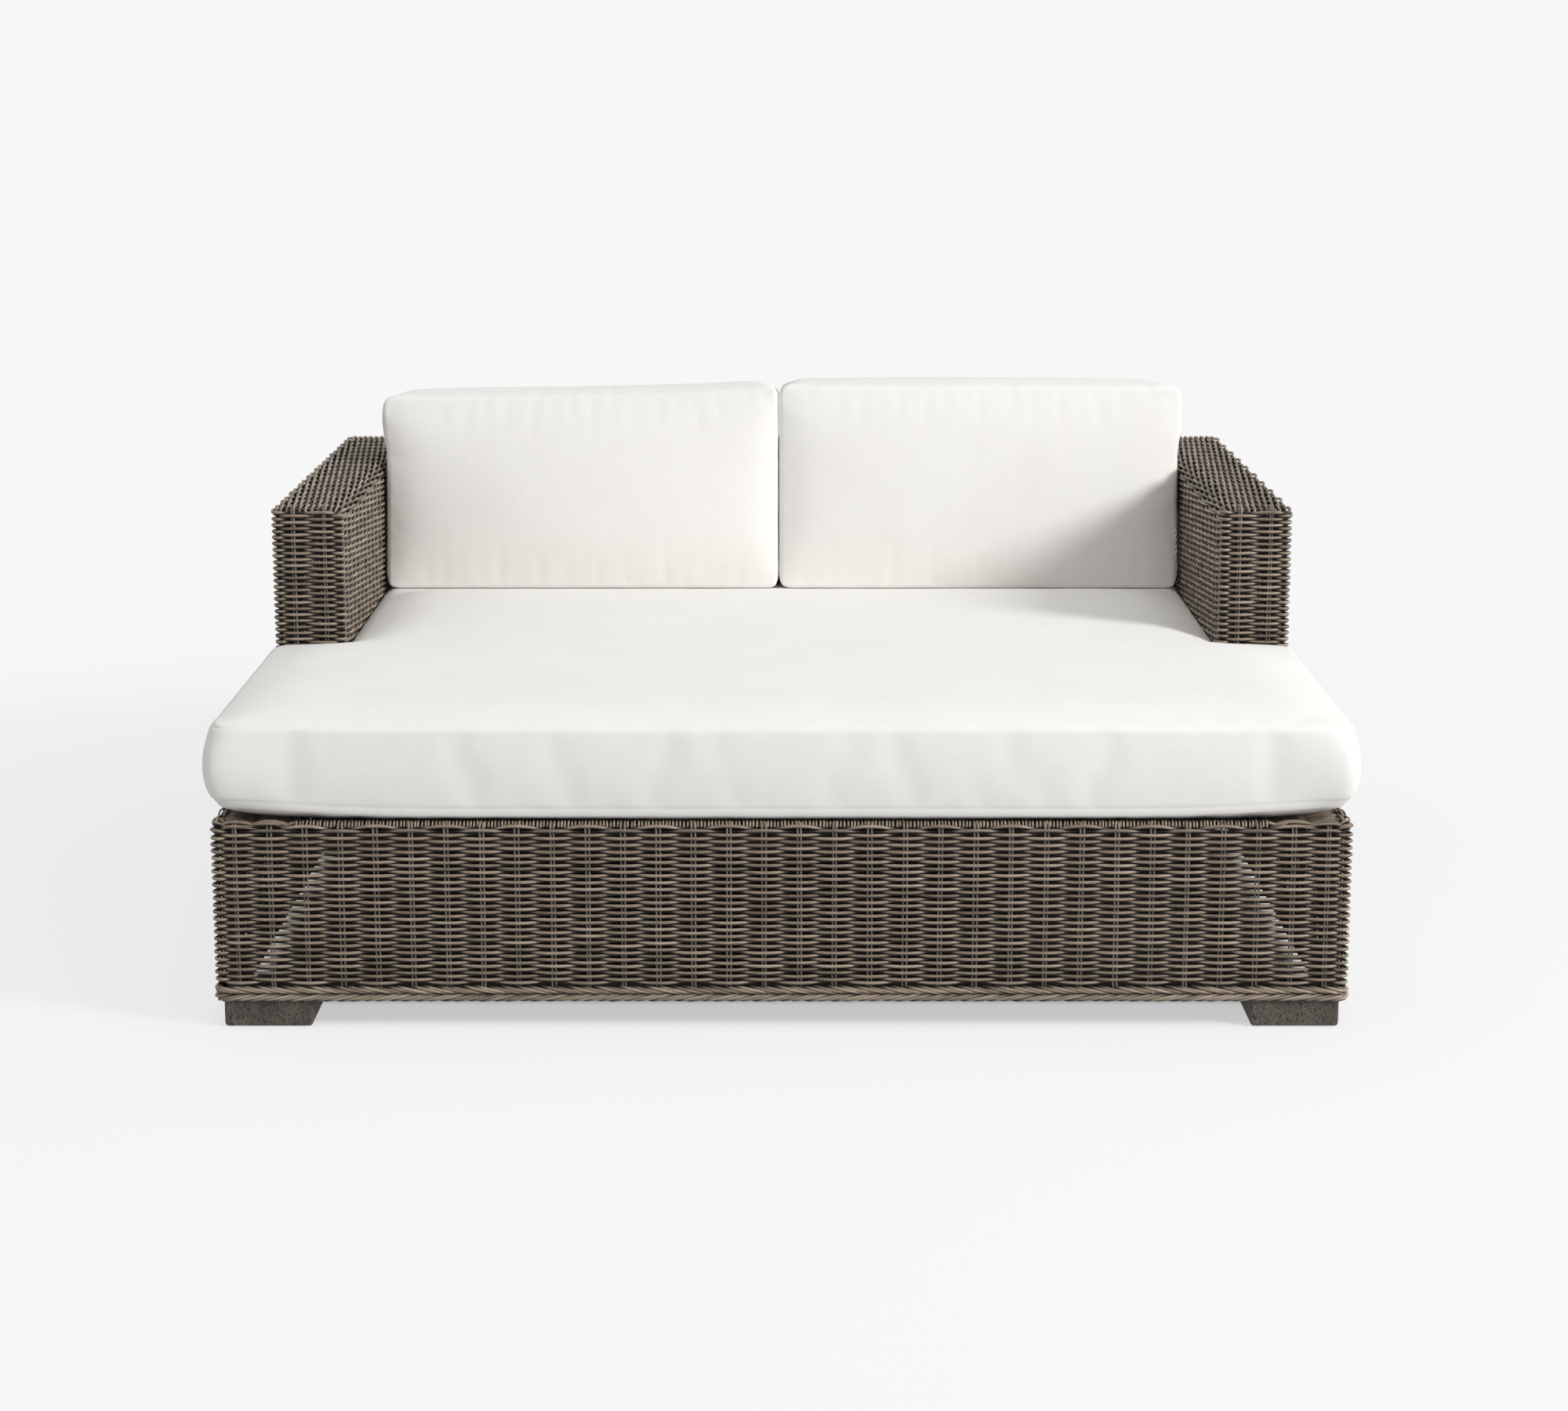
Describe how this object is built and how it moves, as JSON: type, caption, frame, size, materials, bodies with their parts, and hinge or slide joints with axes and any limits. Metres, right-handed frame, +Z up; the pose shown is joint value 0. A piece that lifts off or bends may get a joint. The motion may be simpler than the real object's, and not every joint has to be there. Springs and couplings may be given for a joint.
{
  "type": "wicker daybed",
  "caption": "Deep woven daybed with low arms and back on a tube frame, a T-shaped seat cushion and loose back cushions that lift off.",
  "frame": {"origin": "on the floor, under the middle of the daybed's width and depth", "axes": "+Z up, +Y from the front to the back, +X to the right of a viewer who faces the front"},
  "size_m": [1.714, 1.67, 0.8313],
  "materials": {
    "woven_strand": "matt grey-brown woven strand",
    "stake_strand": "matt grey-brown stake strand",
    "frame_tube": "dark brown powder coat, satin",
    "foot_wood": "dark grey-brown stain, fine grain, matt",
    "bolt_steel": "zinc plated",
    "glide": "matt black",
    "cushion_cloth": "off-white outdoor canvas, matt",
    "cushion_foam": "open-cell foam",
    "zip": "matt off-white tape and teeth"
  },
  "bodies": {
    "frame": {"base_lower_rail_front": "frame_tube", "base_lower_rail_back": "frame_tube", "base_lower_rail_left": "frame_tube", "base_lower_rail_right": "frame_tube", "base_upper_rail_front": "frame_tube", "base_upper_rail_back": "frame_tube", "base_upper_rail_left": "frame_tube", "base_upper_rail_right": "frame_tube", "corner_posts": "frame_tube", "inner_base_rails": "frame_tube", "deck_bearers": "frame_tube", "arm_posts": "frame_tube", "arm_left_top_rails": "frame_tube", "arm_right_top_rails": "frame_tube", "back_top_rails": "frame_tube", "back_posts": "frame_tube", "base_front_weave": "woven_strand", "base_back_weave": "woven_strand", "base_left_weave": "woven_strand", "base_right_weave": "woven_strand", "border_front": "woven_strand", "border_back": "woven_strand", "border_left": "woven_strand", "border_right": "woven_strand", "arm_left_outer_weave": "woven_strand", "arm_right_outer_weave": "woven_strand", "back_outer_weave": "woven_strand", "arm_left_inner_weave": "woven_strand", "arm_right_inner_weave": "woven_strand", "back_inner_weave": "woven_strand", "arm_left_front_weave": "woven_strand", "arm_right_front_weave": "woven_strand", "arm_left_top_weave": "woven_strand", "arm_right_top_weave": "woven_strand", "back_top_weave": "woven_strand", "deck_weave": "woven_strand", "ledge_left_weave": "woven_strand", "ledge_right_weave": "woven_strand", "front_stakes": "stake_strand", "side_stakes": "stake_strand", "back_stakes": "stake_strand", "inner_stakes": "stake_strand", "deck_stakes": "stake_strand", "top_stakes": "stake_strand", "foot_front_left": "foot_wood", "foot_front_right": "foot_wood", "foot_back_left": "foot_wood", "foot_back_right": "foot_wood", "foot_plates": "frame_tube", "foot_bolts": "bolt_steel", "foot_glides": "glide"},
    "seat_cushion": {"seat_cushion_cover": "cushion_cloth", "seat_cushion_core": "cushion_foam", "seat_cushion_zip": "zip"},
    "back_cushion_left": {"back_cushion_left_cover": "cushion_cloth", "back_cushion_left_core": "cushion_foam", "back_cushion_left_zip": "zip"},
    "back_cushion_right": {"back_cushion_right_cover": "cushion_cloth", "back_cushion_right_core": "cushion_foam", "back_cushion_right_zip": "zip"}
  },
  "joints": [
    {"name": "seat_cushion_lift", "type": "slide", "parent": "frame", "child": "seat_cushion", "axis": [0, 0, 1], "range_m": [0, 0.39]},
    {"name": "back_cushion_left_lift", "type": "slide", "parent": "seat_cushion", "child": "back_cushion_left", "axis": [0, 0, 1], "range_m": [0, 0.24]},
    {"name": "back_cushion_right_lift", "type": "slide", "parent": "seat_cushion", "child": "back_cushion_right", "axis": [0, 0, 1], "range_m": [0, 0.24]}
  ]
}
